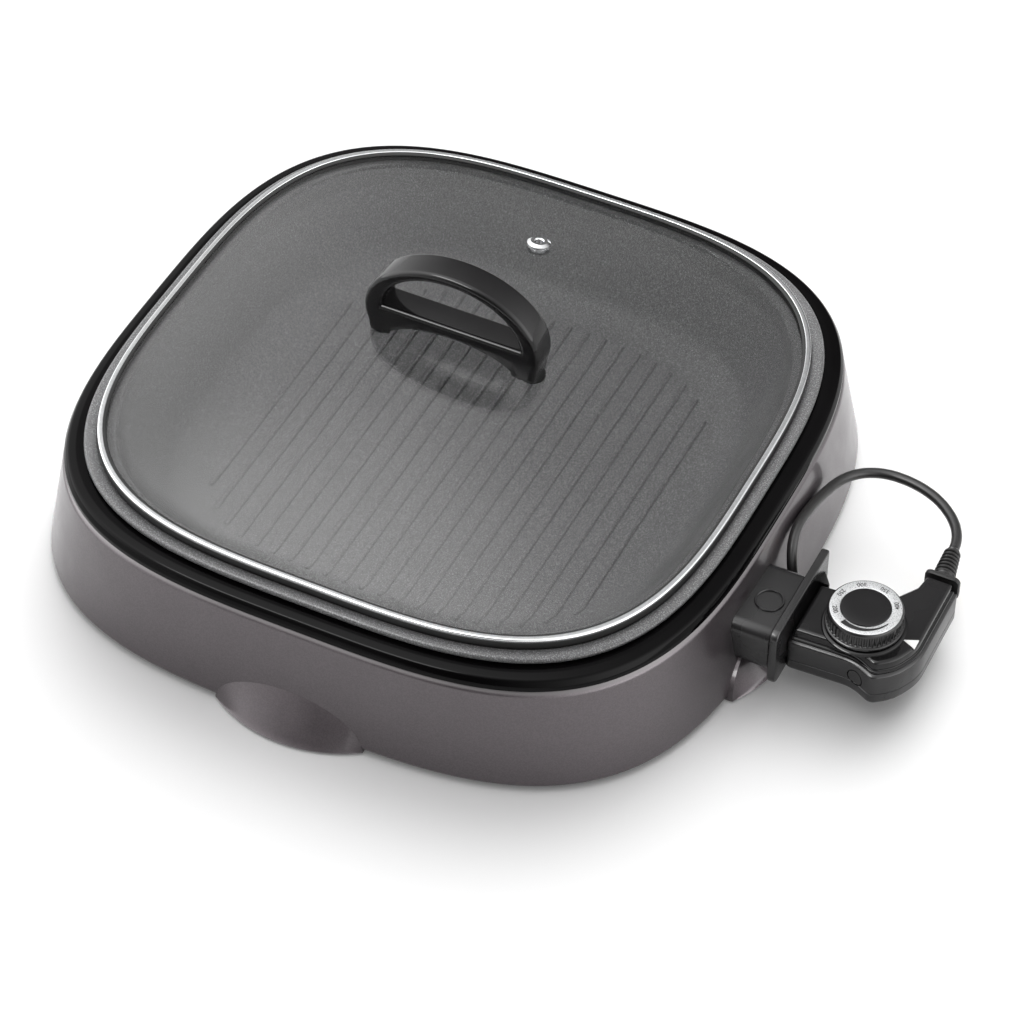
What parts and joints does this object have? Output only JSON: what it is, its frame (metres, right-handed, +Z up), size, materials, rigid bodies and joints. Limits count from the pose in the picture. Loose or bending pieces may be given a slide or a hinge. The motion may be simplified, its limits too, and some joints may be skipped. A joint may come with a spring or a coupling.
{
  "type": "electric skillet",
  "caption": "Countertop electric skillet: rounded-square pan on a flared heated base, lift-off domed glass lid with arched handle, plug-in heat control with dial and cord.",
  "frame": {"origin": "centre of the base on the surface it stands on, at the underside of the middle rubber pad", "axes": "+Z up, +X toward the side that the heat control plugs into, -Y toward the front, where the lid's handle is seen broadside"},
  "size_m": [0.4365, 0.3664, 0.1395],
  "materials": {
    "black_collar": "high-gloss black heat-resistant moulding",
    "black_plastic": "fine-grained moulded black plastic",
    "black_rubber": "soft black rubber",
    "brass_contact": "bare brass",
    "bright_sheet": "bright aluminised sheet",
    "cast_aluminium": "as-cast aluminium",
    "cord_vinyl": "semi-gloss black vinyl",
    "dark_sheath": "heat-darkened steel sheath",
    "gloss_black": "polished moulded black plastic",
    "inner_steel": "plain stamped steel",
    "lid_glass": "clear tempered glass with a grey cast",
    "pin_nickel": "nickel-plated brass",
    "polished_steel": "polished stainless steel",
    "silver_print": null,
    "speckled_nonstick": "cast aluminium under a grey speckled non-stick coat",
    "taupe_shell": "heat-resistant moulding with a satin metallic taupe-grey coat",
    "white_ceramic": "glazed white ceramic",
    "white_print": "white printed mark",
    "zinc_screw": "zinc-plated steel"
  },
  "bodies": {
    "base": {"base_housing": "taupe_shell", "base_collar": "black_collar", "bottom_cover": "black_plastic", "feet": "black_rubber", "base_screws": "zinc_screw", "plate_posts": "zinc_screw", "heat_reflector": "bright_sheet", "heating_plate": "cast_aluminium", "heating_element": "dark_sheath", "terminal_pins": "pin_nickel", "terminal_bushes": "white_ceramic", "socket_housing": "black_plastic"},
    "pan": {"pan": "speckled_nonstick"},
    "lid": {"lid_glass": "lid_glass", "lid_rim": "polished_steel", "lid_gasket": "black_rubber", "steam_vent": "polished_steel", "lid_handle": "gloss_black", "handle_screws": "zinc_screw", "handle_washers": "black_rubber"},
    "control": {"control_bottom": "black_plastic", "control_top": "gloss_black", "control_nose": "black_plastic", "guard_plate": "black_plastic", "contacts": "brass_contact", "sensing_rod": "polished_steel", "thermostat": "inner_steel", "control_screws": "zinc_screw", "pointer_mark": "white_print", "strain_relief": "cord_vinyl", "cord": "cord_vinyl", "cord_coil": "cord_vinyl", "cord_tie": "black_plastic", "plug_body": "cord_vinyl", "plug_blades": "brass_contact"},
    "dial": {"dial_grip": "black_plastic", "dial_scale": "silver_print", "dial_cap": "gloss_black", "spindle": "inner_steel"}
  },
  "joints": [
    {"name": "pan_lift", "type": "slide", "parent": "base", "child": "pan", "axis": [0, 0, 1], "range_m": [0, 0.12]},
    {"name": "lid_lift", "type": "slide", "parent": "pan", "child": "lid", "axis": [0, 0, 1], "range_m": [0, 0.12]},
    {"name": "control_pull", "type": "slide", "parent": "base", "child": "control", "axis": [1, 0, 0], "range_m": [0, 0.07]},
    {"name": "dial_turn", "type": "hinge", "parent": "control", "child": "dial", "pos_m": [0.221, -0.0305, 0.045], "axis": [0, 0, 1], "range_deg": [-270, 0]}
  ]
}
